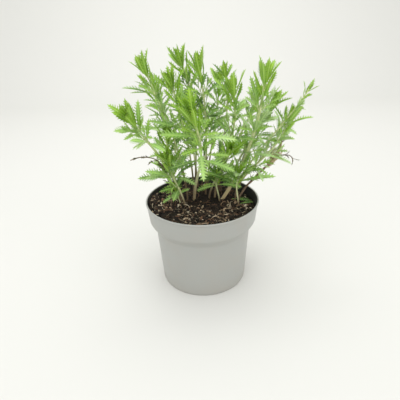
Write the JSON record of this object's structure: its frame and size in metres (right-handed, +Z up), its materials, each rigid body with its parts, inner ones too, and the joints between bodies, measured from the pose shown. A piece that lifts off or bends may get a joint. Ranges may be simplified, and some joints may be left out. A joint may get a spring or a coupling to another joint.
{
  "type": "potted russian sage",
  "caption": "Young bushy herb with square stems and toothed leaves in opposite pairs, growing in a filled round grower's pot.",
  "frame": {"origin": "middle of the pot's base, on the surface that it stands on", "axes": "+Z up along the pot's axis; -Y is the side that the picture shows; +X is to the picture's right"},
  "size_m": [0.2636, 0.2058, 0.3362],
  "materials": {
    "pot": "smooth satin",
    "soil": "rough and matt",
    "foliage": "matt, finely downy",
    "twig": "dry and matt"
  },
  "bodies": {
    "root": {"pot": "pot", "shoot_left": "foliage", "shoot_low": "foliage", "shoot_middle": "foliage", "shoot_right": "foliage", "soil": "soil", "stem_back": "foliage", "stem_back_left": "foliage", "stem_back_middle": "foliage", "stem_back_right": "foliage", "stem_front": "foliage", "stem_inner_left": "foliage", "stem_inner_right": "foliage", "stem_low_left": "foliage", "stem_low_right": "foliage", "stem_mid_left": "foliage", "stem_mid_right": "foliage", "stem_right": "foliage", "stem_tall_left": "foliage", "stem_thick": "foliage", "stem_thin_right": "foliage", "stem_top_left": "foliage", "stem_top_middle": "foliage", "stem_upper_left": "foliage", "stem_wide_right": "foliage", "twig_back": "twig", "twig_inner": "twig", "twig_left": "twig", "twig_middle": "twig", "twig_right": "twig"}
  },
  "joints": []
}
